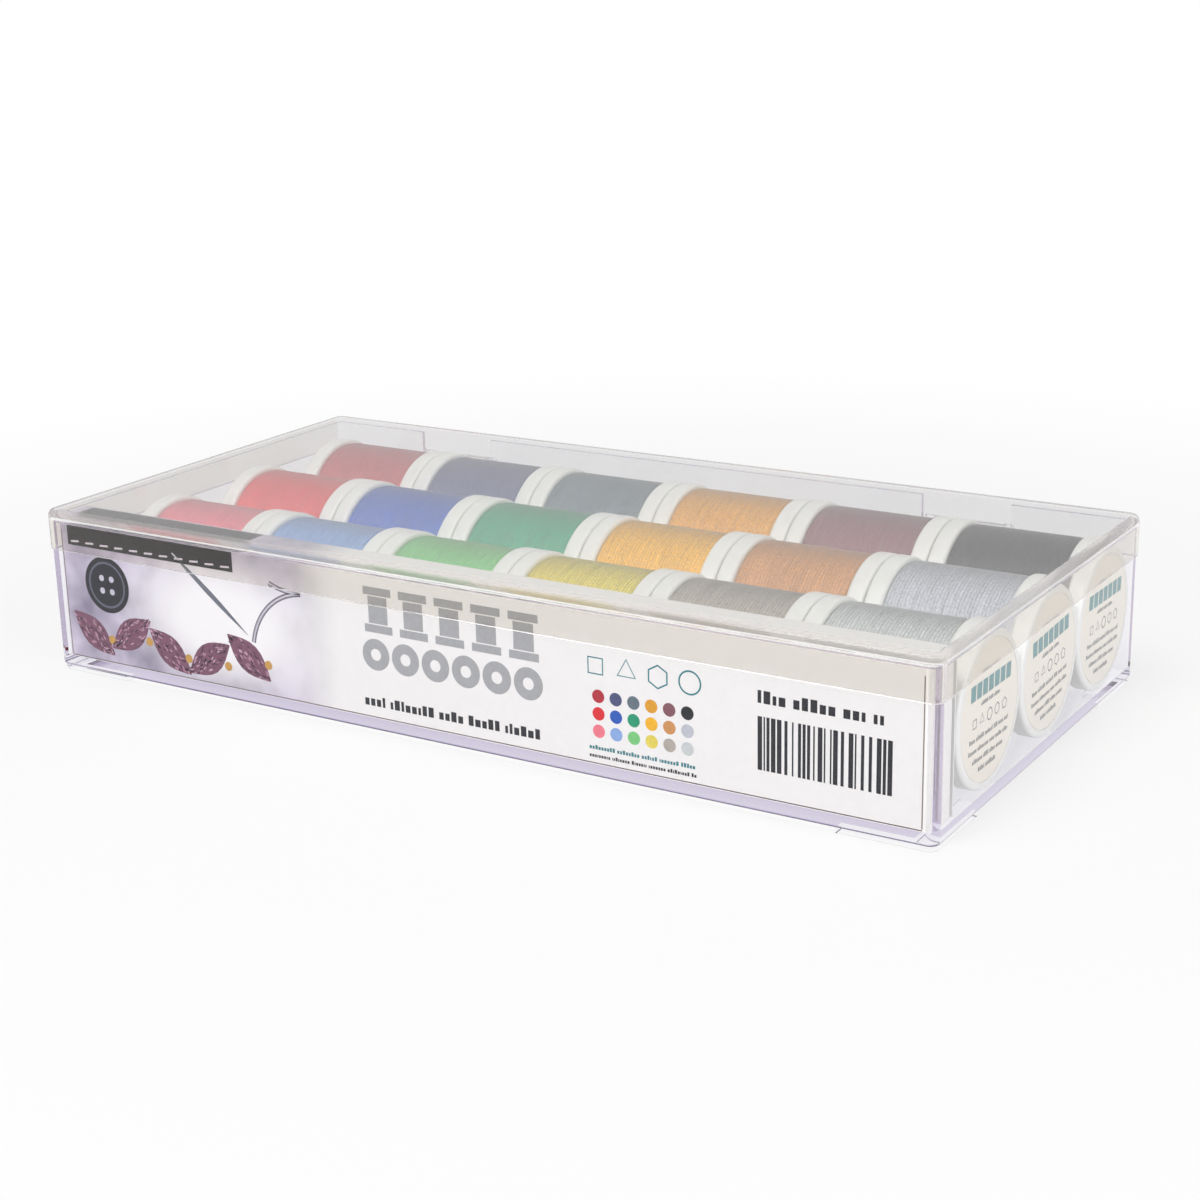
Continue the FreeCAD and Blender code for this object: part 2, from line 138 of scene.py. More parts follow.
# The card's picture fades out between two places along the card, and is lightest round one spot.
PICTURE_FADE = -52 * MM
PICTURE_END = -30 * MM
PICTURE_GLOW = (-68 * MM, CARD_LOW.y, 21 * MM)
PICTURE_GLOW_SIZE = (40 * MM, 400 * MM, 23 * MM)
# Painted light: the paper under the box is shown glowing white, as if lit through the clear floor, up to
# this far inside the tray's outline.
UNDER_MARGIN = 2 * MM
UNDER_PAINTED_LIGHT = 0.9


def linear(code):
    """An sRGB hex colour as linear red, green, blue and alpha."""
    parts = [int(code[i:i + 2], 16) / 255 for i in (0, 2, 4)]
    return tuple(c / 12.92 if c <= 0.04045 else ((c + 0.055) / 1.055) ** 2.4 for c in parts) + (1.0,)


def node(tree, kind, inputs=None, **settings):
    """Add a node with its settings; an input is a plain value or another node's output."""
    made = tree.nodes.new(kind)
    for name, value in settings.items():
        setattr(made, name, value)
    for name, value in (inputs or {}).items():
        if isinstance(value, bpy.types.NodeSocket):
            tree.links.new(value, made.inputs[name])
        else:
            made.inputs[name].default_value = value
    return made


def new_material(name):
    material = bpy.data.materials.new(name)
    material.use_nodes = True
    tree = material.node_tree
    tree.nodes.clear()
    return material, tree


def finish_material(material, tree, surface, volume=None):
    links = {"Surface": surface}
    if volume:
        links["Volume"] = volume
    node(tree, "ShaderNodeOutputMaterial", links)
    return material


def clear_polystyrene(name, cast, density, glow_upright, glow_flat, end_cast, skirt=False):
    """Crystal polystyrene from a polished mould: hard and glassy, with a faint cast and pale edges.

    The cast deepens with the way through the wall. Light caught in a wall leaves with end_cast from
    upright faces, and the two glow shares say how much of it leaves as a soft glow.
    """
    material, tree = new_material(name)
    place = node(tree, "ShaderNodeTexCoord").outputs["Object"]
    # Slow flow lines of the melt, about 50 mm apart, bend what is seen through the walls a little.
    flow = node(tree, "ShaderNodeTexNoise", {"Vector": place, "Scale": 0.02 / MM, "Detail": 1.0})
    ripple = node(tree, "ShaderNodeBump", {
        "Height": flow.outputs["Fac"], "Strength": 0.03, "Distance": 0.2 * MM})
    colour = linear("fefeff")
    if skirt:
        # Painted shade: at the front and the ends, where the skirt lies over the rim, the glass is tinted
        # darker, for the dimmer light seen through two walls.
        ways = node(tree, "ShaderNodeSeparateXYZ", {"Vector": place})
        below = node(tree, "ShaderNodeMath", {
            0: ways.outputs["Z"], 1: LID_HIGH.z - LID_PLATE - LID_INNER_FILLET}, operation="LESS_THAN")
        ahead = node(tree, "ShaderNodeMath", {
            0: ways.outputs["Y"], 1: -LID_LOW.y - LID_CORNER}, operation="LESS_THAN")
        painted_shade_band = node(tree, "ShaderNodeMath", {
            0: below.outputs[0], 1: ahead.outputs[0]}, operation="MULTIPLY")
        colour = node(tree, "ShaderNodeMix", {
            0: painted_shade_band.outputs[0], 6: colour, 7: linear("f0ede8")}, data_type="RGBA").outputs[2]
    body = node(tree, "ShaderNodeBsdfPrincipled", {
        "Base Color": colour, "Roughness": 0.012, "IOR": 1.59, "Transmission Weight": 1.0,
        "Specular Tint": (0.22, 0.22, 0.22, 1.0), "Normal": ripple.outputs["Normal"],
    })
    # Lamp light goes straight through, and light caught between the faces leaves along the edges.
    passing = node(tree, "ShaderNodeBsdfTransparent", {"Color": linear("fdfdfd")})
    # It has come a long way in the upright walls, and so has more of their cast than in the floor.
    facing = node(tree, "ShaderNodeNewGeometry").outputs["Normal"]
    flat = node(tree, "ShaderNodeSeparateXYZ", {"Vector": facing})
    flat_share = node(tree, "ShaderNodeMath", {0: flat.outputs["Z"]}, operation="ABSOLUTE")
    tone = node(tree, "ShaderNodeMix", {
        0: flat_share.outputs[0], 6: linear(end_cast), 7: linear("faf8fd")}, data_type="RGBA")
    led_out = node(tree, "ShaderNodeBsdfTransparent", {"Color": tone.outputs[2]})
    lit_above = node(tree, "ShaderNodeBsdfDiffuse", {"Color": linear("fbf9fb")})
    lit_below = node(tree, "ShaderNodeBsdfTranslucent", {"Color": linear("fbf9fb")})
    lit = node(tree, "ShaderNodeMixShader", {0: 0.5, 1: lit_above.outputs[0], 2: lit_below.outputs[0]})
    glow = node(tree, "ShaderNodeMapRange", {
        "Value": flat_share.outputs[0], "To Min": glow_upright, "To Max": glow_flat})
    edge_glow = node(tree, "ShaderNodeMixShader", {
        0: glow.outputs[0], 1: led_out.outputs[0], 2: lit.outputs[0]})
    path = node(tree, "ShaderNodeLightPath")
    soft_light = node(tree, "ShaderNodeMath", {
        0: path.outputs["Is Shadow Ray"], 1: path.outputs["Is Diffuse Ray"]}, operation="MAXIMUM")
    turned_back = node(tree, "ShaderNodeMath", {
        0: path.outputs["Glossy Depth"], 1: CAUGHT_REFLECTIONS}, operation="GREATER_THAN")
    wandering = node(tree, "ShaderNodeMath", {
        0: path.outputs["Ray Depth"], 1: CAUGHT_STEPS}, operation="GREATER_THAN")
    caught = node(tree, "ShaderNodeMath", {
        0: turned_back.outputs[0], 1: wandering.outputs[0]}, operation="MAXIMUM")
    glass = node(tree, "ShaderNodeMixShader", {
        0: caught.outputs[0], 1: body.outputs[0], 2: edge_glow.outputs[0]})
    surface = node(tree, "ShaderNodeMixShader", {
        0: soft_light.outputs[0], 1: glass.outputs[0], 2: passing.outputs[0]})
    tint = node(tree, "ShaderNodeVolumeAbsorption", {"Color": linear(cast), "Density": density})
    return finish_material(material, tree, surface.outputs[0], tint.outputs[0])


def white_plastic():
    """White moulded spool plastic: smooth, a little waxy, with a faint mottle from the mould."""
    material, tree = new_material("white_polystyrene")
    place = node(tree, "ShaderNodeTexCoord").outputs["Object"]
    mottle = node(tree, "ShaderNodeTexNoise", {"Vector": place, "Scale": 0.5 / MM, "Detail": 3.0})
    tone = node(tree, "ShaderNodeMix", {
        0: mottle.outputs["Fac"], 6: linear("e9ebe6"), 7: linear("f7f7f3")}, data_type="RGBA")
    gloss = node(tree, "ShaderNodeMapRange", {
        "Value": mottle.outputs["Fac"], "To Min": 0.28, "To Max": 0.42})
    bump = node(tree, "ShaderNodeBump", {
        "Height": mottle.outputs["Fac"], "Strength": 0.12, "Distance": 0.05 * MM})
    body = node(tree, "ShaderNodeBsdfPrincipled", {
        "Base Color": tone.outputs[2], "Roughness": gloss.outputs[0], "IOR": 1.55,
        "Normal": bump.outputs["Normal"],
    })
    return finish_material(material, tree, body.outputs[0])


def rayon_thread(name, code):
    """Viscose filament wound in close turns: silky, with a bright sheen across the turns."""
    material, tree = new_material(f"rayon_thread_{name}")
    place = node(tree, "ShaderNodeTexCoord").outputs["Object"]
    # Layers of turns differ a little in depth, about every millimetre along the spool.
    bands = node(tree, "ShaderNodeMapping", {"Vector": place, "Scale": (1.1 / MM, 0.05 / MM, 0.05 / MM)})
    band = node(tree, "ShaderNodeTexNoise", {"Vector": bands.outputs[0], "Scale": 1.0, "Detail": 4.0})
    value = node(tree, "ShaderNodeMapRange", {"Value": band.outputs["Fac"], "To Min": 0.62, "To Max": 1.38})
    # Painted shade: the colour is darkened where the winding is seen along its surface, at its tops, for the
    # turns hiding the lit sides of one another and the lesser light there.
    slant = node(tree, "ShaderNodeLayerWeight", {"Blend": 0.5}).outputs["Facing"]
    shade = node(tree, "ShaderNodeMapRange", {
        "Value": slant, "From Min": 0.24, "From Max": 0.68, "To Min": 1.04, "To Max": 0.5})
    depth = node(tree, "ShaderNodeMath", {0: value.outputs[0], 1: shade.outputs[0]}, operation="MULTIPLY")
    # Single filaments catch the light, drawn about 0.5 mm long so that the glints show: their roughness and
    # bump vary, and the colour is lightened and darkened with them as painted highlights and painted shade.
    fibre = node(tree, "ShaderNodeTexNoise", {"Vector": place, "Scale": 2.0 / MM, "Detail": 2.0})
    painted_glint = node(tree, "ShaderNodeMapRange", {
        "Value": fibre.outputs["Fac"], "From Min": 0.3, "From Max": 0.7, "To Min": 0.74, "To Max": 1.26})
    value_with_painted_light = node(tree, "ShaderNodeMath", {0: depth.outputs[0], 1: painted_glint.outputs[0]}, operation="MULTIPLY")
    colour = node(tree, "ShaderNodeHueSaturation", {"Color": linear(code), "Value": value_with_painted_light.outputs[0]})
    gloss = node(tree, "ShaderNodeMapRange", {
        "Value": fibre.outputs["Fac"], "From Min": 0.3, "From Max": 0.7, "To Min": 0.24, "To Max": 0.6})
    bump = node(tree, "ShaderNodeBump", {
        "Height": fibre.outputs["Fac"], "Strength": 0.4, "Distance": 0.1 * MM})
    body = node(tree, "ShaderNodeBsdfPrincipled", {
        "Base Color": colour.outputs[0], "Roughness": gloss.outputs[0], "IOR": 1.52, "Sheen Weight": 0.3,
        "Sheen Roughness": 0.3, "Normal": bump.outputs["Normal"],
    })
    return finish_material(material, tree, body.outputs[0])


def label_paper():
    """Uncoated cream label paper."""
    material, tree = new_material("label_paper")
    place = node(tree, "ShaderNodeTexCoord").outputs["Object"]
    pulp = node(tree, "ShaderNodeTexNoise", {"Vector": place, "Scale": 1.2 / MM, "Detail": 4.0})
    tone = node(tree, "ShaderNodeMix", {
        0: pulp.outputs["Fac"], 6: linear("ece5d3"), 7: linear("f6f1e4")}, data_type="RGBA")
    body = node(tree, "ShaderNodeBsdfPrincipled", {"Base Color": tone.outputs[2], "Roughness": 0.7})
    return finish_material(material, tree, body.outputs[0])


def printed_card():
    """Coated white card, smooth and bright, with a soft lilac picture ground printed over its left third."""
    material, tree = new_material("coated_card")
    place = node(tree, "ShaderNodeTexCoord").outputs["Object"]
    pulp = node(tree, "ShaderNodeTexNoise", {"Vector": place, "Scale": 0.8 / MM, "Detail": 3.0})
    white = node(tree, "ShaderNodeMix", {
        0: pulp.outputs["Fac"], 6: linear("f0eeea"), 7: linear("f7f6f3")}, data_type="RGBA")
    # Out-of-focus folds of cloth, about 20 mm across.
    folds = node(tree, "ShaderNodeTexNoise", {
        "Vector": place, "Scale": 0.05 / MM, "Detail": 3.0, "Roughness": 0.6})
    depth = node(tree, "ShaderNodeMapRange", {
        "Value": folds.outputs["Fac"], "From Min": 0.35, "From Max": 0.65})
    lilac = node(tree, "ShaderNodeMix", {
        0: depth.outputs[0], 6: linear("877f96"), 7: linear("d8d0e0")}, data_type="RGBA")
    lit_place = node(tree, "ShaderNodeMapping", {
        "Vector": place, "Location": PICTURE_GLOW, "Scale": PICTURE_GLOW_SIZE}, vector_type="TEXTURE")
    lit = node(tree, "ShaderNodeTexGradient", {"Vector": lit_place.outputs[0]}, gradient_type="SPHERICAL")
    glow = node(tree, "ShaderNodeMapRange", {"Value": lit.outputs["Fac"], "From Max": 0.7},
                interpolation_type="SMOOTHSTEP")
    cloth = node(tree, "ShaderNodeMix", {
        0: glow.outputs[0], 6: lilac.outputs[2], 7: linear("fbf9f8")}, data_type="RGBA")
    along = node(tree, "ShaderNodeSeparateXYZ", {"Vector": place}).outputs["X"]
    fade = node(tree, "ShaderNodeMapRange", {
        "Value": along, "From Min": PICTURE_FADE, "From Max": PICTURE_END, "To Min": 1.0, "To Max": 0.0},
        interpolation_type="SMOOTHSTEP")
    tone = node(tree, "ShaderNodeMix", {
        0: fade.outputs[0], 6: white.outputs[2], 7: cloth.outputs[2]}, data_type="RGBA")
    body = node(tree, "ShaderNodeBsdfPrincipled", {"Base Color": tone.outputs[2], "Roughness": 0.45})
    return finish_material(material, tree, body.outputs[0])


def printing_ink():
    """Offset ink: a thin, slightly glossy film in the colour that each patch carries."""
    material, tree = new_material("offset_ink")
    colour = node(tree, "ShaderNodeAttribute", attribute_name="ink")
    place = node(tree, "ShaderNodeTexCoord").outputs["Object"]
    # The ink takes unevenly on the paper's fibres, drawn at 0.8 mm so that it shows.
    fibre = node(tree, "ShaderNodeTexNoise", {"Vector": place, "Scale": 1.2 / MM, "Detail": 2.0})
    take = node(tree, "ShaderNodeMapRange", {"Value": fibre.outputs["Fac"], "To Min": 0.85, "To Max": 1.15})
    tone = node(tree, "ShaderNodeHueSaturation", {
        "Color": colour.outputs["Color"], "Value": take.outputs[0]})
    body = node(tree, "ShaderNodeBsdfPrincipled", {
        "Base Color": tone.outputs[0], "Roughness": 0.5, "Specular IOR Level": 0.25})
    return finish_material(material, tree, body.outputs[0])


def mesh_of(name, shape):
    mesh = bpy.data.meshes.new(name)
    shape.to_mesh(mesh)
    shape.free()
    return mesh


def middle_of(node_name):
    low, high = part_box(node_name)
    return (low + high) / 2


def new_piece(name, shape, material, body, nodes):
    """Turn a bmesh into a piece that rides on a body, and stand it in for CAD nodes."""
    piece_from_mesh(name, mesh_of(name, shape), material, body, nodes)


def piece_from_mesh(name, mesh, material, body, nodes):
    """The same for a finished mesh; faces that meet at a sharp edge are shaded apart."""
    mesh.shade_smooth()
    mesh.set_sharp_from_angle(angle=SMOOTH_ANGLE)
    mesh.materials.clear()
    mesh.materials.append(material)
    piece = bpy.data.objects.new(name, mesh)
    bpy.context.scene.collection.objects.link(piece)
    even = piece.modifiers.new("flat_faces_stay_flat", "WEIGHTED_NORMAL")
    even.keep_sharp = True
    even.weight = 100
    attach(piece, body)
    if nodes:
        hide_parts(*nodes)


def add_block(shape, low, high):
    """Add a box between two corners."""
    low, high = Vector(low), Vector(high)
    place = Matrix.Translation((low + high) / 2) @ Matrix.Diagonal((*(high - low), 1))
    bmesh.ops.create_cube(shape, size=1, matrix=place)


def add_rod(shape, radius, start, end, segments=40):
    """Add a round bar along X on the hinge line."""
    turn = Matrix.Rotation(math.radians(90), 4, "Y") @ Matrix.Rotation(math.pi / segments, 4, "Z")
    place = Matrix.Translation(((start + end) / 2, HINGE_Y, HINGE_Z)) @ turn
    bmesh.ops.create_cone(
        shape, cap_ends=True, segments=segments, radius1=radius, radius2=radius,
        depth=end - start, matrix=place)


def edges_where(shape, test):
    return [edge for edge in shape.edges if test(*(vert.co for vert in edge.verts))]


def round_edges(shape, edges, radius, segments):
    bmesh.ops.bevel(
        shape, geom=edges, offset=radius, offset_type="OFFSET", affect="EDGES",
        segments=segments, profile=0.5, material=-1, clamp_overlap=True)


def upright(a, b):
    """Whether an edge between two points runs straight up."""
    return abs(a.x - b.x) < SAME_PLACE and abs(a.y - b.y) < SAME_PLACE


def level(height):
    """A test for edges that lie at a height."""
    return lambda a, b: abs(a.z - height) < SAME_PLACE and abs(b.z - height) < SAME_PLACE


def verts_in(geom):
    """The vertices among what a bmesh operator has made."""
    return [item for item in geom if isinstance(item, bmesh.types.BMVert)]


def face_at(shape, height, facing):
    """The largest flat face at a height that looks up or down."""
    shape.normal_update()
    found = [
        face for face in shape.faces
        if abs(face.calc_center_median().z - height) < SAME_PLACE and face.normal.z * facing > 0.9
    ]
    return max(found, key=lambda face: face.calc_area())


def step_in(shape, face, inset, rise):
    """Inset a face and push the inner part up or down by rise."""
    bmesh.ops.inset_region(shape, faces=[face], thickness=inset, use_even_offset=True, use_boundary=True)
    grown = bmesh.ops.extrude_face_region(shape, geom=[face], use_keep_orig=False)["geom"]
    bmesh.ops.translate(shape, verts=verts_in(grown), vec=(0, 0, rise))
    faces = [item for item in grown if isinstance(item, bmesh.types.BMFace)]
    old = [face] if face.is_valid else []
    bmesh.ops.delete(shape, geom=old, context="FACES_ONLY")
    return faces[0]


def combine(shape, other, operation):
    """Join or cut two closed shapes exactly; both are used up."""
    holders = []
    for index, part in enumerate((shape, other)):
        mesh = bpy.data.meshes.new(f"combine_{index}")
        part.to_mesh(mesh)
        part.free()
        holder = bpy.data.objects.new(mesh.name, mesh)
        bpy.context.scene.collection.objects.link(holder)
        holders.append(holder)
    cut = holders[0].modifiers.new("combine", "BOOLEAN")
    cut.operation = operation
    cut.solver = "EXACT"
    cut.object = holders[1]
    graph = bpy.context.evaluated_depsgraph_get()
    result = bpy.data.meshes.new_from_object(holders[0].evaluated_get(graph))
    merged = bmesh.new()
    merged.from_mesh(result)
    bpy.data.meshes.remove(result)
    for holder in holders:
        mesh = holder.data
        bpy.data.objects.remove(holder)
        bpy.data.meshes.remove(mesh)
    return merged


def lid_shape():
    """Flat plate with a rounded edge, skirt, and a hinge knuckle with pins at two places."""
    low = Vector((LID_LOW.x, LID_LOW.y, LID_HIGH.z - LID_DEPTH))
    high = Vector((LID_HIGH.x, -LID_LOW.y, LID_HIGH.z))
    shape = bmesh.new()
    add_block(shape, low, high)
    round_edges(shape, edges_where(shape, upright), LID_CORNER, 8)
    bottom = face_at(shape, low.z, -1)
    step_in(shape, bottom, LID_SKIRT, LID_DEPTH - LID_PLATE)
    round_edges(shape, edges_where(shape, level(high.z)), LID_EDGE, 6)
    round_edges(shape, edges_where(shape, level(high.z - LID_PLATE)), LID_INNER_FILLET, 4)
    round_edges(shape, edges_where(shape, level(low.z)), MOULD_EDGE, 2)
    cuts = bmesh.new()
    knuckles = bmesh.new()
    inner_back = high.y - LID_SKIRT
    relief_top = HINGE_Z + EAR_RADIUS + RELIEF_GAP
    for centre in (-HINGE_SPREAD, HINGE_SPREAD):
        half = NOTCH_WIDTH / 2 + RELIEF_GAP
        add_block(
            cuts, (centre - half, inner_back - LID_SKIRT / 3, low.z - LID_SKIRT),
            (centre + half, high.y + LID_SKIRT, relief_top))
    shape = combine(shape, cuts, "DIFFERENCE")
    for centre in (-HINGE_SPREAD, HINGE_SPREAD):
        half = NOTCH_WIDTH / 2 - EAR_WIDTH - KNUCKLE_GAP
        reach = NOTCH_WIDTH / 2 - PIN_END_GAP
        add_block(
            knuckles, (centre - half, inner_back + MOULD_EDGE, HINGE_Z),
            (centre + half, high.y - MOULD_EDGE, relief_top + LID_SKIRT))
        barrel = bmesh.new()
        add_rod(barrel, EAR_RADIUS, centre - half, centre + half)
        knuckles = combine(knuckles, barrel, "UNION")
        pin = bmesh.new()
        add_rod(pin, PIN_RADIUS, centre - reach, centre + reach, 24)
        knuckles = combine(knuckles, pin, "UNION")
    return combine(shape, knuckles, "UNION")


def add_foot(shape, corner, side, end):
    """Add one L-shaped corner foot; it reaches a little into the floor above."""
    steps = [
        (0, 0), (FOOT_LENGTH, 0), (FOOT_LENGTH, FOOT_WIDTH), (FOOT_WIDTH, FOOT_WIDTH),
        (FOOT_WIDTH, FOOT_LENGTH), (0, FOOT_LENGTH),
    ]
    foot = bmesh.new()
    sole = foot.faces.new([foot.verts.new((corner.x - side * u, corner.y - end * v, 0)) for u, v in steps])
    grown = bmesh.ops.extrude_face_region(foot, geom=[sole])["geom"]
    bmesh.ops.translate(foot, verts=verts_in(grown), vec=(0, 0, FOOT_HEIGHT + TRAY_FLOOR / 3))
    bmesh.ops.recalc_face_normals(foot, faces=foot.faces[:])
    outer = edges_where(foot, lambda a, b: upright(a, b) and (a.xy - corner).length < SAME_PLACE)
    round_edges(foot, outer, TRAY_CORNER - FOOT_INSET, 6)
    round_edges(foot, edges_where(foot, level(0)), MOULD_EDGE, 2)
    mesh = mesh_of("foot", foot)
    shape.from_mesh(mesh)
    bpy.data.meshes.remove(mesh)


def tray_shape():
    """Tray with a rebated rim, corner feet, and a notch with two bored ears at each hinge."""
    shoulder = LID_HIGH.z - LID_DEPTH - SHOULDER_GAP
    low = Vector((TRAY_LOW.x, TRAY_LOW.y, FOOT_HEIGHT))
    high = Vector((TRAY_HIGH.x, -TRAY_LOW.y, shoulder))
    floor = FOOT_HEIGHT + TRAY_FLOOR
    shape = bmesh.new()
    add_block(shape, low, high)
    round_edges(shape, edges_where(shape, upright), TRAY_CORNER, 8)
    rim = step_in(shape, face_at(shape, high.z, 1), TRAY_REBATE, TRAY_HIGH.z - shoulder)
    step_in(shape, rim, TRAY_WALL - TRAY_REBATE, floor - TRAY_HIGH.z)
    round_edges(shape, edges_where(shape, level(floor)), TRAY_FLOOR_FILLET, 4)
    round_edges(shape, edges_where(shape, level(low.z)), TRAY_BOTTOM_ROUND, 4)
    round_edges(shape, edges_where(shape, level(TRAY_HIGH.z)), MOULD_EDGE, 2)
    feet = bmesh.new()
    for side in (-1, 1):
        for end in (-1, 1):
            corner = Vector((side * (high.x - FOOT_INSET), end * (high.y - FOOT_INSET)))
            add_foot(feet, corner, side, end)
    shape = combine(shape, feet, "UNION")
    inside = high.y - TRAY_WALL
    for half, bottom in (
        (NOTCH_WIDTH / 2, shoulder),
        (NOTCH_WIDTH / 2 - EAR_WIDTH, HINGE_Z - EAR_RADIUS - KNUCKLE_GAP),
    ):
        notches = bmesh.new()
        for centre in (-HINGE_SPREAD, HINGE_SPREAD):
            add_block(
                notches, (centre - half, inside - TRAY_WALL, bottom),
                (centre + half, high.y + TRAY_WALL, TRAY_HIGH.z + TRAY_WALL))
        shape = combine(shape, notches, "DIFFERENCE")
    ears = bmesh.new()
    bores = bmesh.new()
    for centre in (-HINGE_SPREAD, HINGE_SPREAD):
        for side in (-1, 1):
            outer = NOTCH_WIDTH / 2 - PIN_CLEARANCE
            ends = sorted((centre + side * outer, centre + side * (outer - EAR_WIDTH)))
            add_rod(ears, EAR_RADIUS, *ends)
            add_rod(bores, PIN_RADIUS + PIN_CLEARANCE, ends[0] - KNUCKLE_GAP, ends[1] + KNUCKLE_GAP, 24)
    shape = combine(shape, ears, "UNION")
    return combine(shape, bores, "DIFFERENCE")


def spool_shape(low, high):
    """A hollow core with two flanges, turned about the spool's own axis."""
    centre = (low + high) / 2
    radius = (high.z - low.z) / 2
    web = LABEL_RECESS + WEB_THICKNESS
    seat = radius - LABEL_MARGIN + LABEL_SEAT_GAP
    half = [
        (web, BARREL_RADIUS - BARREL_WALL), (web, SPINDLE_RADIUS), (LABEL_RECESS, SPINDLE_RADIUS),
        (LABEL_RECESS, seat), (0, seat), (0, radius),
        (FLANGE_THICKNESS, radius), (FLANGE_THICKNESS, BARREL_RADIUS),
    ]
    length = high.x - low.x
    outline = half + [(length - along, out) for along, out in reversed(half)]
    shape = bmesh.new()
    verts = [shape.verts.new((low.x + along, centre.y, centre.z + out)) for along, out in outline]
    for index in range(len(verts)):
        shape.edges.new((verts[index], verts[(index + 1) % len(verts)]))
    bmesh.ops.spin(
        shape, geom=shape.verts[:] + shape.edges[:], cent=centre, axis=AXIS, angle=math.tau,
        steps=ROUND_STEPS, use_merge=True)
    bmesh.ops.recalc_face_normals(shape, faces=shape.faces[:])

    def rim(a, b):
        outer = all(abs((v.yz - centre.yz).length - radius) < SAME_RADIUS for v in (a, b))
        return outer and abs(a.x - b.x) < SAME_PLACE
    round_edges(shape, edges_where(shape, rim), FLANGE_ROUND, 4)
    return shape


def winding_shape(low, high, steps=48):
    """Close turns of thread laid side by side in one helix over the core, trimmed at the flanges."""
    centre = (low + high) / 2
    radius = (high.z - low.z) / 2
    shape = bmesh.new()
    start = low.x - THREAD_PITCH * 1.5
    ridge = [(0.0, -1.0), (0.17, -0.3), (0.5, 0.0), (0.83, -0.3), (1.0, -1.0)]
    verts = [
        shape.verts.new((start + along * THREAD_PITCH, centre.y, centre.z + radius + drop * THREAD_RISE))
        for along, drop in ridge
    ]
    edges = [shape.edges.new(pair) for pair in zip(verts, verts[1:])]
    bmesh.ops.spin(
        shape, geom=verts + edges, cent=centre, axis=AXIS, angle=math.tau, steps=steps,
        dvec=(THREAD_PITCH / steps, 0, 0))
    # One turn doubles until the turns reach past both ends.
    laid = THREAD_PITCH
    while start + laid < high.x + THREAD_PITCH:
        geom = shape.verts[:] + shape.edges[:] + shape.faces[:]
        copied = bmesh.ops.duplicate(shape, geom=geom)["geom"]
        bmesh.ops.translate(shape, verts=verts_in(copied), vec=(laid, 0, 0))
        laid *= 2
    bmesh.ops.remove_doubles(shape, verts=shape.verts[:], dist=THREAD_PITCH / 50)
    for place, facing in ((low.x, -1), (high.x, 1)):
        geom = shape.verts[:] + shape.edges[:] + shape.faces[:]
        bmesh.ops.bisect_plane(
            shape, geom=geom, plane_co=(place, 0, 0), plane_no=(facing, 0, 0), clear_outer=True,
            dist=SAME_PLACE)
    for vert in shape.verts:
        depth = min(vert.co.x - low.x, high.x - vert.co.x)
        share = max(0.0, 1.0 - depth / WINDING_SHOULDER)
        out = Vector((0, vert.co.y - centre.y, vert.co.z - centre.z))
        vert.co -= out.normalized() * WINDING_FALL * share * share
    rims = [edge for edge in shape.edges if edge.is_boundary]
    grown = bmesh.ops.extrude_edge_only(shape, edges=rims)["geom"]
    for vert in verts_in(grown):
        out = Vector((0, vert.co.y - centre.y, vert.co.z - centre.z)).normalized()
        vert.co = Vector((vert.co.x, centre.y, centre.z)) + out * (BARREL_RADIUS + WINDING_SEAT_GAP)
    loops = [edge for edge in shape.edges if edge.is_boundary]
    bmesh.ops.bridge_loops(shape, edges=loops)
    bmesh.ops.recalc_face_normals(shape, faces=shape.faces[:])
    return shape


def label_shape(low, high):
    """Two thin paper discs."""
    centre = (low + high) / 2
    radius = (high.z - low.z) / 2
    shape = bmesh.new()
    for middle in (low.x + LABEL_PAPER / 2, high.x - LABEL_PAPER / 2):
        turn = Matrix.Rotation(math.radians(90), 4, "Y")
        place = Matrix.Translation((middle, centre.y, centre.z)) @ turn
        bmesh.ops.create_cone(
            shape, cap_ends=True, segments=ROUND_STEPS, radius1=radius, radius2=radius,
            depth=LABEL_PAPER, matrix=place)
    return shape


def card_shape():
    """Front, top and back panels and end flaps of one folded card."""
    left, right = CARD_LOW.x, CARD_HIGH.x
    front, back = CARD_LOW.y, CARD_HIGH.y
    bottom, top = CARD_LOW.z, CARD_HIGH.z
    shape = bmesh.new()
    corners = [(left, front, bottom), (right, front, bottom), (right, front, top), (left, front, top)]
    panel = shape.faces.new([shape.verts.new(corner) for corner in corners])

    def fold(edge, shift):
        grown = bmesh.ops.extrude_edge_only(shape, edges=[edge])["geom"]
        verts = verts_in(grown)
        bmesh.ops.translate(shape, verts=verts, vec=shift)
        edges = [item for item in grown if isinstance(item, bmesh.types.BMEdge)]
        return next(item for item in edges if set(item.verts) == set(verts))
    sides = panel.edges[:]
    upper = fold(sides[2], (0, back - front, 0))
    fold(upper, (0, 0, bottom - top))
    fold(sides[1], (0, CARD_FLAP, 0))
    fold(sides[3], (0, CARD_FLAP, 0))
    bmesh.ops.recalc_face_normals(shape, faces=shape.faces[:])
    folds = [edge for edge in shape.edges if len(edge.link_faces) == 2]
    round_edges(shape, folds, CARD_FOLD, 3)
    shape.normal_update()
    ahead = next(
        face for face in shape.faces
        if abs(face.normal.y) > 0.99 and face.calc_center_median().y < front + CARD)
    if ahead.normal.y > 0:
        bmesh.ops.reverse_faces(shape, faces=shape.faces[:])
    bmesh.ops.solidify(shape, geom=shape.faces[:], thickness=CARD)
    return shape


def print_plane(place, right, up):
    """The matrix that takes flat print, drawn in X and Y, to a surface."""
    right, up = Vector(right), Vector(up)
    turn = Matrix((right, up, right.cross(up))).transposed().to_4x4()
    return Matrix.Translation(place) @ turn


def new_print():
    shape = bmesh.new()
    shape.loops.layers.float_color.new("ink")
    return shape


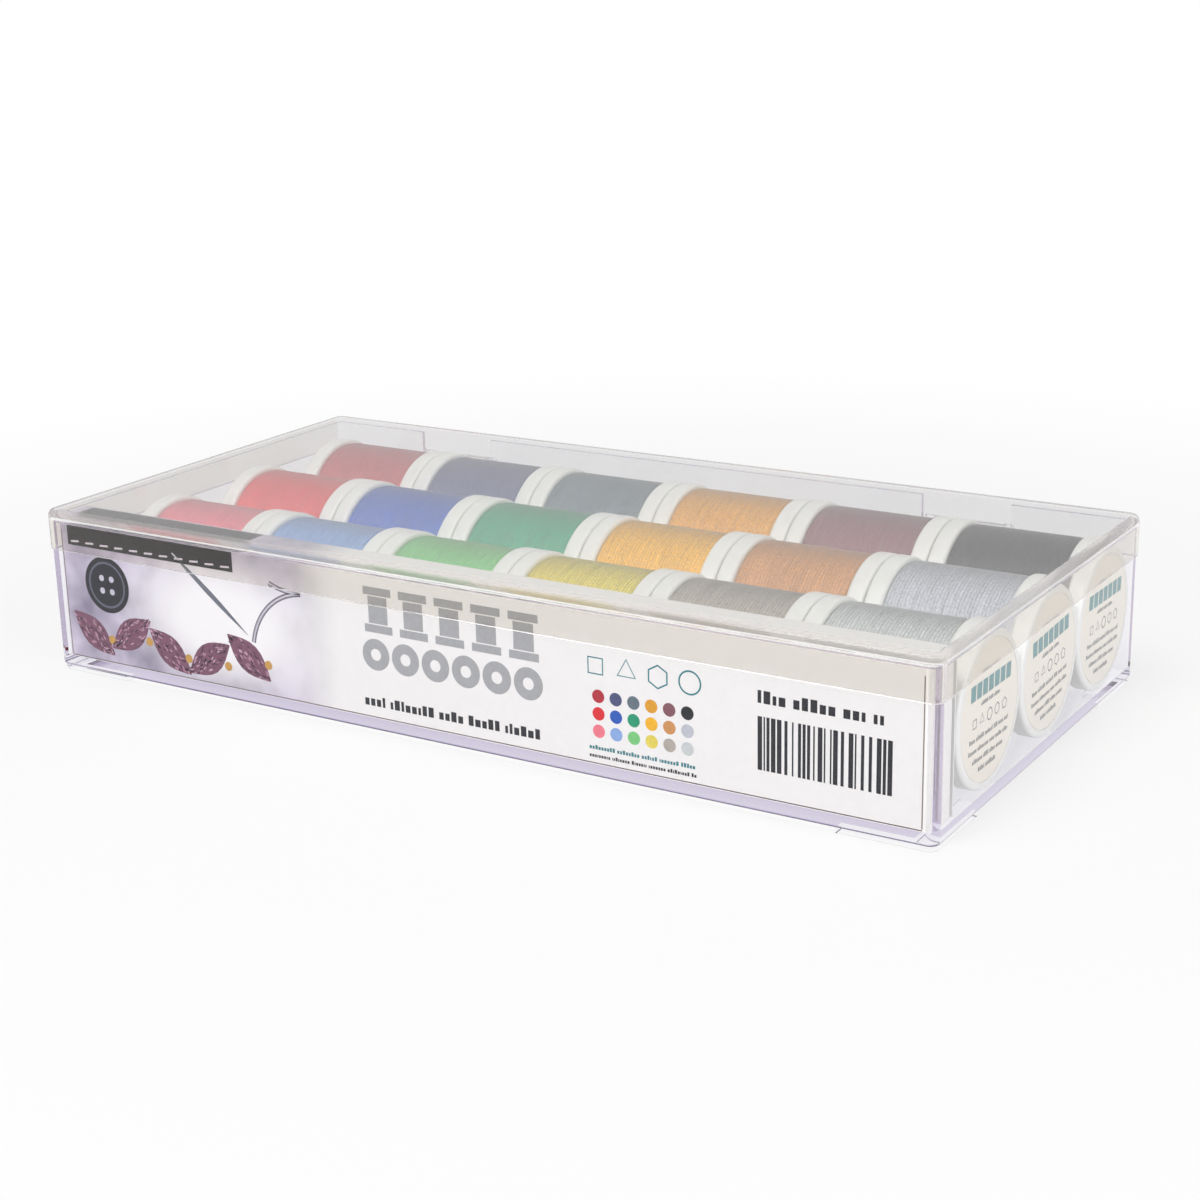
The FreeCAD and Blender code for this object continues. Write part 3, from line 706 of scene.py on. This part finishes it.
def lay_ink(shape, verts, plane, code):
    """Set a flat patch on its surface and give it the ink's thickness and colour."""
    bmesh.ops.transform(shape, matrix=plane, verts=verts)
    faces = list({face for vert in verts for face in vert.link_faces})
    grown = bmesh.ops.extrude_face_region(shape, geom=faces, use_keep_orig=True)["geom"]
    top = verts_in(grown)
    bmesh.ops.translate(shape, verts=top, vec=plane.to_3x3().col[2] * INK)
    layer = shape.loops.layers.float_color["ink"]
    for face in {face for vert in list(verts) + top for face in vert.link_faces}:
        for loop in face.loops:
            loop[layer] = linear(code)


def spot(along, up, turn=0.0, wide=1.0, high=1.0):
    """Where a unit patch goes on a print plane; places in millimetres, the turn in degrees."""
    place = Matrix.Translation((along * MM, up * MM, 0)) @ Matrix.Rotation(math.radians(turn), 4, "Z")
    return place @ Matrix.Diagonal((wide * MM, high * MM, 1, 1))


def print_bar(shape, plane, code, along, up, wide, high, turn=0.0):
    place = spot(along, up, turn, wide, high)
    verts = bmesh.ops.create_grid(shape, x_segments=1, y_segments=1, size=0.5, matrix=place)["verts"]
    lay_ink(shape, verts, plane, code)


def print_disc(shape, plane, code, along, up, radius, segments=28):
    place = spot(along, up, 0.0, radius, radius)
    verts = bmesh.ops.create_circle(shape, cap_ends=True, radius=1, segments=segments, matrix=place)["verts"]
    lay_ink(shape, verts, plane, code)


def print_ring(shape, plane, code, along, up, outer, inner, segments=32, turn=0.0):
    """A ring, or a plain many-sided outline where it has few sides."""
    verts = []
    for radius in (outer, inner):
        place = spot(along, up, turn, radius, radius)
        made = bmesh.ops.create_circle(shape, cap_ends=False, radius=1, segments=segments, matrix=place)
        verts += made["verts"]
    edges = list({edge for vert in verts for edge in vert.link_edges})
    bmesh.ops.bridge_loops(shape, edges=edges)
    lay_ink(shape, verts, plane, code)


def print_petal(shape, plane, code, along, up, length, width, turn):
    """A pointed petal, with its long way turned from the plane's first direction."""
    verts = bmesh.ops.create_circle(shape, cap_ends=True, radius=1, segments=24)["verts"]
    for vert in verts:
        vert.co.y *= 1 - 0.75 * vert.co.x ** 2
    bmesh.ops.transform(shape, matrix=spot(along, up, turn, length / 2, width / 2), verts=verts)
    lay_ink(shape, verts, plane, code)


def print_arc(shape, plane, code, along, up, radius, width, start, sweep, steps=28):
    """Part of a circle drawn with a broad pen; angles in degrees."""
    verts = [shape.verts.new((radius + side * width / 2, 0, 0)) for side in (-1, 1)]
    edge = shape.edges.new(verts)
    bmesh.ops.spin(
        shape, geom=verts + [edge], cent=(0, 0, 0), axis=(0, 0, 1), angle=math.radians(sweep), steps=steps)
    verts = linked_verts(verts[0])
    bmesh.ops.transform(shape, matrix=spot(along, up, start), verts=verts)
    lay_ink(shape, verts, plane, code)


def linked_verts(first):
    """All the vertices that edges join to the first one."""
    found, waiting = {first}, [first]
    while waiting:
        vert = waiting.pop()
        for edge in vert.link_edges:
            other = edge.other_vert(vert)
            if other not in found:
                found.add(other)
                waiting.append(other)
    return list(found)


def print_words(shape, plane, code, chance, start, end, up, high, longest):
    """A line of plain small blocks, in groups, where a line of small type would be.

    Block widths, block heights and gaps are shares of the line's height.
    """
    along = start
    stop = along + chance.uniform(0.35, 1.0) * longest
    while along < end - high * 0.6:
        wide = high * chance.choice((0.3, 0.5, 0.55, 0.6))
        tall = high * chance.choice((0.72, 0.72, 1.0))
        print_bar(shape, plane, code, along + wide / 2, up + (tall - high) / 2, wide, tall)
        along += wide + high * 0.2
        if along > stop:
            along += high * 0.45
            stop = along + chance.uniform(0.35, 1.0) * longest


def sewing_picture(shape, front, top, chance):
    """A ribbon, a button, a needle with its thread and a chain of stitched petals, in millimetres."""
    dark, plum, pale, gold, steel = "0e0f16", "7a4c62", "e6dde8", "c99a4a", "6f737d"
    raised = Matrix.Translation(front.col[2].to_3d() * (INK + INK_GAP)) @ front
    print_bar(shape, front, dark, -91.5, 37.6, 56, 5.2)
    print_bar(shape, top, dark, -90.5, 4.6, 58, 8.6)
    for step in range(11):
        print_bar(shape, raised, pale, -117 + step * 5.1, 36.1, 2.8, 0.5, 4)
    print_disc(shape, front, "14161e", -107, 25.5, 7.6, 40)
    print_ring(shape, raised, "5b5f6d", -107, 25.5, 6.3, 5.7, 40)
    for hole_x, hole_z in ((-1.7, -1.7), (1.7, -1.7), (-1.7, 1.7), (1.7, 1.7)):
        print_disc(shape, raised, "c9c5d2", -107 + hole_x, 25.5 + hole_z, 0.85, 16)
    for step in range(5):
        along = -113 + step * 13.2
        up = 11.6 + 1.6 * math.sin(step * 1.9)
        lean = 34 if step % 2 else -38
        print_petal(shape, front, plum, along, up, 17.0, 8.0, lean)
        for _ in range(70):
            reach = chance.uniform(-0.9, 0.9)
            side = chance.uniform(-0.85, 0.85) * (1 - reach * reach) ** 0.5 * (1 - 0.75 * reach * reach)
            shift = Matrix.Rotation(math.radians(lean), 2) @ Vector((reach * 8.5, side * 4.0))
            shade = chance.choice(("c9a3b4", "b98ba0", "3d2434", "4c2c3e"))
            slant = lean + chance.uniform(-30, 30)
            print_bar(shape, raised, shade, along + shift.x, up + shift.y, 1.1, 0.3, slant)
        print_disc(shape, raised, gold, along + 6.2, up - 1.0, 1.2, 14)
    print_petal(shape, front, steel, -72, 28.5, 31, 1.5, -38)
    print_bar(shape, raised, "d9dade", -82.3, 36.6, 2.6, 0.4, -38)
    for width, shade in ((1.3, "77707f"), (0.5, "c9c6cf")):
        plane = front if width > 1 else raised
        print_arc(shape, plane, shade, -40.5, 14.4, 18.0, width, 96, 74)
        print_arc(shape, plane, shade, -44.4, 51.3, 19.0, width, 246, 30)


def card_print():
    """Everything printed on the card: picture, reel signs, colour chart, plain lines and a bar block.

    Places and sizes are millimetres from the middle of the box and from the table.
    """
    shape = new_print()
    chance = random.Random(11)
    front = print_plane((0, CARD_LOW.y - INK_GAP, 0), (1, 0, 0), (0, 0, 1))
    top = print_plane((0, CARD_LOW.y, CARD_HIGH.z + INK_GAP), (1, 0, 0), (0, 1, 0))
    sewing_picture(shape, front, top, chance)
    # A thin dark line along the card's bottom is a painted shadow where the card meets the tray floor; thin
    # dark lines also run down the front at both creased ends.
    left, right, bottom = CARD_LOW.x / MM + 0.7, CARD_HIGH.x / MM - 0.7, CARD_LOW.z / MM
    print_bar(shape, front, "5d4a44", 0, bottom + 0.25, right - left, 0.3)
    for along in (left, right):
        print_bar(shape, front, "7d6c66", along, bottom + 17.6, 0.25, 34)
    grey, dark, teal = "a9aaab", "26262c", "2f7f86"
    for step in range(5):
        along = -18.8 + step * 10.4
        for up, wide, high in ((36.4, 8.2, 2.0), (27.0, 8.2, 2.0), (31.7, 5.6, 6.8)):
            print_bar(shape, front, grey, along, up, wide, high)
    for step in range(6):
        print_ring(shape, front, grey, -20.0 + step * 8.75, 20.4, 4.0, 1.5, 36)
    print_words(shape, front, dark, chance, -24, 27.3, 8.4, 2.5, 13)
    for step, sides in enumerate((4, 3, 6, 32)):
        print_ring(shape, front, teal, 42.0 + step * 8.1, 27.8, 2.9, 2.5, sides, 45 if sides == 4 else 0)
    for row_index, row in enumerate(ROWS):
        for column, (_, code) in enumerate(THREADS[row]):
            print_disc(shape, front, code, 42.6 + column * 4.6, 20.6 - row_index * 4.2, 1.6)
    print_words(shape, front, teal, chance, 40, 68, 8.2, 1.0, 7)
    print_words(shape, front, dark, chance, 40, 68, 6.2, 0.9, 6)
    print_words(shape, front, dark, chance, 83, 114, 27.6, 2.9, 11)
    along, module = 83.0, 0.36
    while along < 114.4:
        wide = module * chance.choice((1, 1, 2, 2, 3))
        print_bar(shape, front, dark, along + wide / 2, 16.9, wide, 12.4)
        along += wide + module * chance.choice((1, 1, 2, 3))
    bmesh.ops.recalc_face_normals(shape, faces=shape.faces[:])
    return shape


def label_print(low, high):
    """Plain type lines, small outlines and a row of teal blocks on both labels, in millimetres."""
    centre = (low + high) / 2
    shape = new_print()
    ink, teal, grey = "4a4a4c", "1f7d80", "8d8f8e"
    for end, way in ((low.x - INK_GAP, -1), (high.x + INK_GAP, 1)):
        chance = random.Random(23)
        plane = print_plane((end, centre.y, centre.z), (0, way, 0), (0, 0, 1))
        print_words(shape, plane, grey, chance, -5.5, 5, 10.2, 1.1, 5)
        for step in range(7):
            print_bar(shape, plane, teal, -9.6 + step * 3.3, 6.2, 2.7, 3.6)
        print_words(shape, plane, ink, chance, -5, 6, 2.8, 0.9, 4)
        for step, sides in enumerate((4, 3, 32, 6, 5)):
            print_ring(shape, plane, ink, -8.4 + step * 4.2, -0.9, 1.5, 1.2, sides, 45 if sides == 4 else 0)
        for line, (start, end_at) in enumerate(((-11, 11), (-11.3, 11.3), (-9, 9), (-5.5, 5.5))):
            print_words(shape, plane, ink, chance, start, end_at, -4.6 - 2.5 * line, 1.1, 6.0)
    bmesh.ops.recalc_face_normals(shape, faces=shape.faces[:])
    return shape


def place_camera():
    """The photographed viewpoint: from the right front, a little above."""
    centre = Vector((0.29054, -0.454753, 0.189805))
    yaw, pitch, roll = (math.radians(angle) for angle in (32.591, 17.186, -1.474))
    image_side, focal = 1200, 2198.5
    optical_middle = Vector((580, 590))
    ahead = Vector((-math.sin(yaw) * math.cos(pitch), math.cos(yaw) * math.cos(pitch), -math.sin(pitch)))
    flat_right = ahead.cross(Vector((0, 0, 1))).normalized()
    flat_up = flat_right.cross(ahead)
    right = math.cos(roll) * flat_right + math.sin(roll) * flat_up
    up = math.cos(roll) * flat_up - math.sin(roll) * flat_right
    data = bpy.data.cameras.new("camera")
    data.sensor_width = 36.0
    data.lens = focal / image_side * data.sensor_width
    data.shift_x = 0.5 - optical_middle.x / image_side
    data.shift_y = optical_middle.y / image_side - 0.5
    data.clip_start, data.clip_end = 0.01, 50.0
    camera = bpy.data.objects.new("camera", data)
    bpy.context.scene.collection.objects.link(camera)
    camera.matrix_world = Matrix((right, up, -ahead)).transposed().to_4x4()
    camera.location = centre
    bpy.context.scene.camera = camera


def studio_surroundings():
    """Pale walls near the floor, a dim band above them and a paler ceiling, all seen as plain white."""
    world = bpy.data.worlds.new("studio")
    world.use_nodes = True
    tree = world.node_tree
    tree.nodes.clear()
    way = node(tree, "ShaderNodeTexCoord").outputs["Generated"]
    height = node(tree, "ShaderNodeSeparateXYZ", {"Vector": way}).outputs["Z"]
    ramp = node(tree, "ShaderNodeValToRGB", {"Fac": height})
    # How bright it is at each height, from level (0) to straight up (1).
    stops = [
        (0.0, 0.6), (0.17, 0.6), (0.22, 0.54), (0.26, 0.41),
        (0.31, 0.32), (0.42, 0.3), (0.65, 0.44), (1.0, 0.52),
    ]
    for index, (place, level_there) in enumerate(stops):
        stop = ramp.color_ramp.elements[index] if index < 2 else ramp.color_ramp.elements.new(place)
        stop.position = place
        stop.color = (level_there, level_there, level_there, 1)
    path = node(tree, "ShaderNodeLightPath")
    shown = node(tree, "ShaderNodeMath", {
        0: path.outputs["Is Camera Ray"], 1: path.outputs["Is Transmission Ray"]}, operation="MAXIMUM")
    colour = node(tree, "ShaderNodeMix", {
        0: shown.outputs[0], 6: ramp.outputs["Color"], 7: (1, 1, 1, 1)}, data_type="RGBA")
    sky = node(tree, "ShaderNodeBackground", {"Color": colour.outputs[2], "Strength": 1.0})
    node(tree, "ShaderNodeOutputWorld", {"Surface": sky.outputs[0]})
    return world


def white_sweep():
    """Matt white paper sweep: it keeps the box's soft shadow and goes to plain white further out."""
    material, tree = new_material("white_sweep")
    place = node(tree, "ShaderNodeTexCoord").outputs["Object"]
    away = node(tree, "ShaderNodeVectorMath", {0: place}, operation="LENGTH")
    spread = node(tree, "ShaderNodeMapRange", {
        "Value": away.outputs["Value"], "From Min": 0.15, "From Max": 0.42, "To Min": 0.72, "To Max": 1.0},
        interpolation_type="SMOOTHSTEP")
    # Painted light: right under the box the paper is shown glowing white, as if lit through the clear floor.
    sides = node(tree, "ShaderNodeVectorMath", {0: place}, operation="ABSOLUTE")
    reach = node(tree, "ShaderNodeSeparateXYZ", {"Vector": sides.outputs["Vector"]})
    inside_x = node(tree, "ShaderNodeMath", {
        0: reach.outputs["X"], 1: TRAY_HIGH.x - UNDER_MARGIN}, operation="LESS_THAN")
    inside_y = node(tree, "ShaderNodeMath", {
        0: reach.outputs["Y"], 1: -TRAY_LOW.y - UNDER_MARGIN}, operation="LESS_THAN")
    under = node(tree, "ShaderNodeMath", {
        0: inside_x.outputs[0], 1: inside_y.outputs[0]}, operation="MULTIPLY")
    painted_under_light = node(tree, "ShaderNodeMath", {
        0: under.outputs[0], 1: UNDER_PAINTED_LIGHT}, operation="MULTIPLY")
    spread = node(tree, "ShaderNodeMath", {
        0: spread.outputs[0], 1: painted_under_light.outputs[0]}, operation="MAXIMUM")
    path = node(tree, "ShaderNodeLightPath")
    seen = node(tree, "ShaderNodeMath", {
        0: path.outputs["Is Camera Ray"], 1: path.outputs["Is Glossy Ray"]}, operation="MAXIMUM")
    shown = node(tree, "ShaderNodeMath", {
        0: seen.outputs[0], 1: path.outputs["Is Transmission Ray"]}, operation="MAXIMUM")
    share = node(tree, "ShaderNodeMath", {0: spread.outputs[0], 1: shown.outputs[0]}, operation="MULTIPLY")
    paint = node(tree, "ShaderNodeBsdfPrincipled", {"Base Color": linear("e8e8e8"), "Roughness": 0.9})
    white = node(tree, "ShaderNodeEmission", {"Color": (1, 1, 1, 1), "Strength": 1.0})
    surface = node(tree, "ShaderNodeMixShader", {
        0: share.outputs[0], 1: paint.outputs[0], 2: white.outputs[0]})
    return finish_material(material, tree, surface.outputs[0])


def place_stage():
    """White floor, studio surroundings and large soft lamps."""
    scene = bpy.context.scene
    scene.view_settings.view_transform = "Standard"
    scene.world = studio_surroundings()
    mesh = bpy.data.meshes.new("floor")
    shape = bmesh.new()
    bmesh.ops.create_grid(shape, x_segments=1, y_segments=1, size=8.0)
    shape.to_mesh(mesh)
    shape.free()
    mesh.materials.append(white_sweep())
    floor = bpy.data.objects.new("floor", mesh)
    scene.collection.objects.link(floor)
    for name, place, size, power in (
        ("key", (-0.15, -0.9, 1.17), 0.9, 14.6),
        ("fill", (1.25, -0.25, 0.48), 0.9, 7.2),
    ):
        data = bpy.data.lights.new(name, "AREA")
        data.shape = "SQUARE"
        data.size = size
        data.energy = power
        lamp = bpy.data.objects.new(name, data)
        lamp.location = place
        lamp.rotation_euler = (-Vector(place)).to_track_quat("-Z", "Y").to_euler()
        scene.collection.objects.link(lamp)


place_camera()
place_stage()

lid_clear = clear_polystyrene(
    "clear_polystyrene_lid", cast="b5a98f", density=24.0, glow_upright=0.85, glow_flat=0.85,
    end_cast="f2eef8", skirt=True)
tray_clear = clear_polystyrene(
    "clear_polystyrene_tray", cast="a58fc8", density=14.0, glow_upright=0.3, glow_flat=0.0,
    end_cast="d2c7df")
new_piece("clear_lid", lid_shape(), lid_clear, "lid", ["lid"])
new_piece("clear_tray", tray_shape(), tray_clear, "base", ["base_tray"])
new_piece("folded_card", card_shape(), printed_card(), "base", ["front_card"])
ink = printing_ink()
new_piece("card_print", card_print(), ink, "base", ())

# All spools are copies of the first one, each turned its own way.
spool_white = white_plastic()
paper = label_paper()
first = "back_1"
core_mesh = mesh_of("core", spool_shape(*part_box(f"spool_{first}")))
winding_mesh = mesh_of("winding", winding_shape(*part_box(f"thread_{first}")))
label_mesh = mesh_of("end_labels", label_shape(*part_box(f"labels_{first}")))
type_mesh = mesh_of("label_print", label_print(*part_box(f"labels_{first}")))
start = middle_of(f"spool_{first}")
chance = random.Random(4)
for row in ROWS:
    for column in COLUMNS:
        number = f"{row}_{column}"
        body = f"spool_{number}"
        colour, code = THREADS[row][column - 1]
        turn = Matrix.Rotation(chance.uniform(0, math.tau), 4, "X")
        tilt = Matrix.Rotation(chance.uniform(-LABEL_TILT, LABEL_TILT), 4, "X")
        for name, mesh, material, stands_for, slot, spin in (
            ("core", core_mesh, spool_white, ["spool"], "white_plastic", turn),
            ("winding", winding_mesh, rayon_thread(colour, code), ["thread"], f"thread_{colour}", turn),
            ("end_labels", label_mesh, paper, ["labels"], "label_paper", tilt),
            ("label_print", type_mesh, ink, [], "label_paper", tilt),
        ):
            copy = mesh.copy()
            copy.transform(Matrix.Translation(middle_of(body)) @ spin @ Matrix.Translation(-start))
            copy.name = f"{name}_{number}"
            nodes = [f"{kind}_{number}" for kind in stands_for]
            piece_from_mesh(f"{name}_{number}", copy, material, body, nodes)
